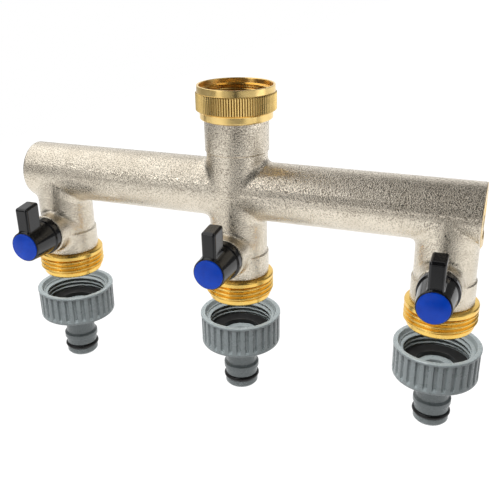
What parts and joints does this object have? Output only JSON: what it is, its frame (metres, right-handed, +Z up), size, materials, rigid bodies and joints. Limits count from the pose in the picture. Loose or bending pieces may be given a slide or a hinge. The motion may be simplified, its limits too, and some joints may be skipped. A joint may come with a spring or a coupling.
{
  "type": "hose splitter",
  "caption": "Hose splitter: a nickel-plated cross tube with a swivel inlet nut, a ball valve and lever on each leg, and push-fit hose adapters below the threaded outlets.",
  "frame": {"origin": "centre of the swivel nut's mouth, on the inlet's axis", "axes": "+Z up the inlet towards the tap, +X along the cross tube, levers towards -Y"},
  "size_m": [0.2364, 0.0588, 0.1552],
  "materials": {
    "nickel_plate": "brass casting, sand-blasted and nickel-plated, fine grain",
    "turned_brass": "bare brass, turned and polished",
    "ball_chrome": "chromed brass ball",
    "seat_plastic": "white slippery plastic",
    "lever_black": "glossy black plastic",
    "cap_blue": "glossy blue plastic",
    "adapter_grey": "satin moulded grey plastic",
    "seal_rubber": "smooth black rubber",
    "spring_steel": "spring steel wire",
    "screw_steel": "zinc-plated steel"
  },
  "bodies": {
    "manifold": {"manifold_body": "nickel_plate", "end_plug_left": "turned_brass", "end_plug_right": "turned_brass", "snap_ring": "spring_steel", "inlet_seal": "seal_rubber", "outlet_nipple_left": "turned_brass", "outlet_nipple_middle": "turned_brass", "outlet_nipple_right": "turned_brass", "upper_seat_left": "seat_plastic", "upper_seat_middle": "seat_plastic", "upper_seat_right": "seat_plastic", "lower_seat_left": "seat_plastic", "lower_seat_middle": "seat_plastic", "lower_seat_right": "seat_plastic"},
    "inlet_nut": {"swivel_nut": "turned_brass"},
    "valve_left": {"valve_ball_left": "ball_chrome", "valve_stem_left": "turned_brass", "stem_seals_left": "seal_rubber", "lever_left": "lever_black", "lever_screw_left": "screw_steel", "lever_cap_left": "cap_blue"},
    "valve_middle": {"valve_ball_middle": "ball_chrome", "valve_stem_middle": "turned_brass", "stem_seals_middle": "seal_rubber", "lever_middle": "lever_black", "lever_screw_middle": "screw_steel", "lever_cap_middle": "cap_blue"},
    "valve_right": {"valve_ball_right": "ball_chrome", "valve_stem_right": "turned_brass", "stem_seals_right": "seal_rubber", "lever_right": "lever_black", "lever_screw_right": "screw_steel", "lever_cap_right": "cap_blue"},
    "washer_left": {"adapter_washer_left": "seal_rubber"},
    "adapter_left": {"adapter_left": "adapter_grey", "nipple_seal_left": "seal_rubber"},
    "washer_middle": {"adapter_washer_middle": "seal_rubber"},
    "adapter_middle": {"adapter_middle": "adapter_grey", "nipple_seal_middle": "seal_rubber"},
    "washer_right": {"adapter_washer_right": "seal_rubber"},
    "adapter_right": {"adapter_right": "adapter_grey", "nipple_seal_right": "seal_rubber"}
  },
  "joints": [
    {"name": "nut_turn", "type": "hinge", "parent": "manifold", "child": "inlet_nut", "pos_m": [0, 0, -0.0138], "axis": [0, 0, 1], "continuous": true},
    {"name": "valve_turn_left", "type": "hinge", "parent": "manifold", "child": "valve_left", "pos_m": [-0.098, 0, -0.0777], "axis": [0, 1, 0], "range_deg": [0, 90]},
    {"name": "valve_turn_middle", "type": "hinge", "parent": "manifold", "child": "valve_middle", "pos_m": [0, 0, -0.0777], "axis": [0, 1, 0], "range_deg": [0, 90]},
    {"name": "valve_turn_right", "type": "hinge", "parent": "manifold", "child": "valve_right", "pos_m": [0.098, 0, -0.0777], "axis": [0, 1, 0], "range_deg": [0, 90]},
    {"name": "adapter_rise_left", "type": "slide", "parent": "manifold", "child": "washer_left", "axis": [0, 0, 1], "range_m": [0, 0.01963]},
    {"name": "adapter_turn_left", "type": "hinge", "parent": "washer_left", "child": "adapter_left", "pos_m": [-0.098, 0, -0.1214], "axis": [0, 0, 1], "range_deg": [0, 3060]},
    {"name": "adapter_rise_middle", "type": "slide", "parent": "manifold", "child": "washer_middle", "axis": [0, 0, 1], "range_m": [0, 0.01963]},
    {"name": "adapter_turn_middle", "type": "hinge", "parent": "washer_middle", "child": "adapter_middle", "pos_m": [0, 0, -0.1214], "axis": [0, 0, 1], "range_deg": [0, 3060]},
    {"name": "adapter_rise_right", "type": "slide", "parent": "manifold", "child": "washer_right", "axis": [0, 0, 1], "range_m": [0, 0.01963]},
    {"name": "adapter_turn_right", "type": "hinge", "parent": "washer_right", "child": "adapter_right", "pos_m": [0.098, 0, -0.1214], "axis": [0, 0, 1], "range_deg": [0, 3060]}
  ],
  "couplings": [
    {"joint": "adapter_rise_left", "follows": "adapter_turn_left", "m_per_rad": 0.00036748},
    {"joint": "adapter_rise_middle", "follows": "adapter_turn_middle", "m_per_rad": 0.00036748},
    {"joint": "adapter_rise_right", "follows": "adapter_turn_right", "m_per_rad": 0.00036748}
  ]
}
